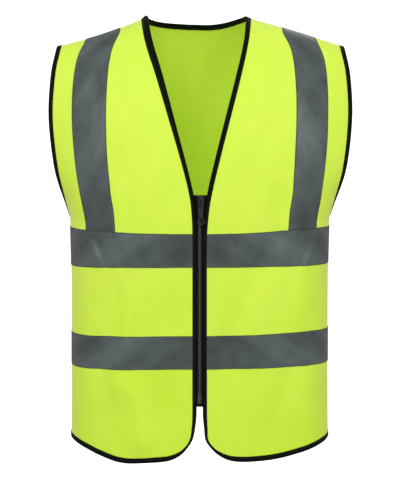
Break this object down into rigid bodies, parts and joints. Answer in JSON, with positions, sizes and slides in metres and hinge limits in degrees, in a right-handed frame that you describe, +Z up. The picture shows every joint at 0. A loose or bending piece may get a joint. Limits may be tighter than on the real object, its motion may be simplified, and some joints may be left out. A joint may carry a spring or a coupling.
{
  "type": "safety vest",
  "caption": "Sleeveless high-visibility vest with a zip front, V neck, reflective bands and shoulder tapes, bound edges, filled out as when worn.",
  "frame": {"origin": "midway between the neck points of the two shoulder seams, where the wearer's shoulders hold the vest up", "axes": "+Z up the body, -Y to the front, +X to the wearer's left"},
  "size_m": [0.4586, 0.2795, 0.6684],
  "materials": {
    "cloth": "matt knitted polyester, fluorescent yellow",
    "tape": "grey retroreflective tape with a soft sheen",
    "binding": "black woven binding tape",
    "zip_tape": "black woven zip tape",
    "zip_teeth": "black moulded teeth",
    "zip_metal": "dark lacquered slider and pull"
  },
  "bodies": {
    "vest": {"back_panel": "cloth", "front_left": "cloth", "brace_tape_front_left": "tape", "brace_tape_back_left": "tape", "upper_band_front_left": "tape", "lower_band_front_left": "tape", "armhole_binding_left": "binding", "zip_tape_left": "zip_tape", "front_right": "cloth", "brace_tape_front_right": "tape", "brace_tape_back_right": "tape", "upper_band_front_right": "tape", "lower_band_front_right": "tape", "armhole_binding_right": "binding", "zip_tape_right": "zip_tape", "upper_band_back": "tape", "lower_band_back": "tape", "edge_binding": "binding", "zip_chain": "zip_teeth", "zip_slider": "zip_metal"},
    "pull_tab": {"zip_pull": "zip_metal"}
  },
  "joints": [
    {"name": "pull_swing", "type": "hinge", "parent": "vest", "child": "pull_tab", "pos_m": [0.00171, -0.14099, -0.2697], "axis": [-1, 0, 0], "range_deg": [0, 165]}
  ]
}
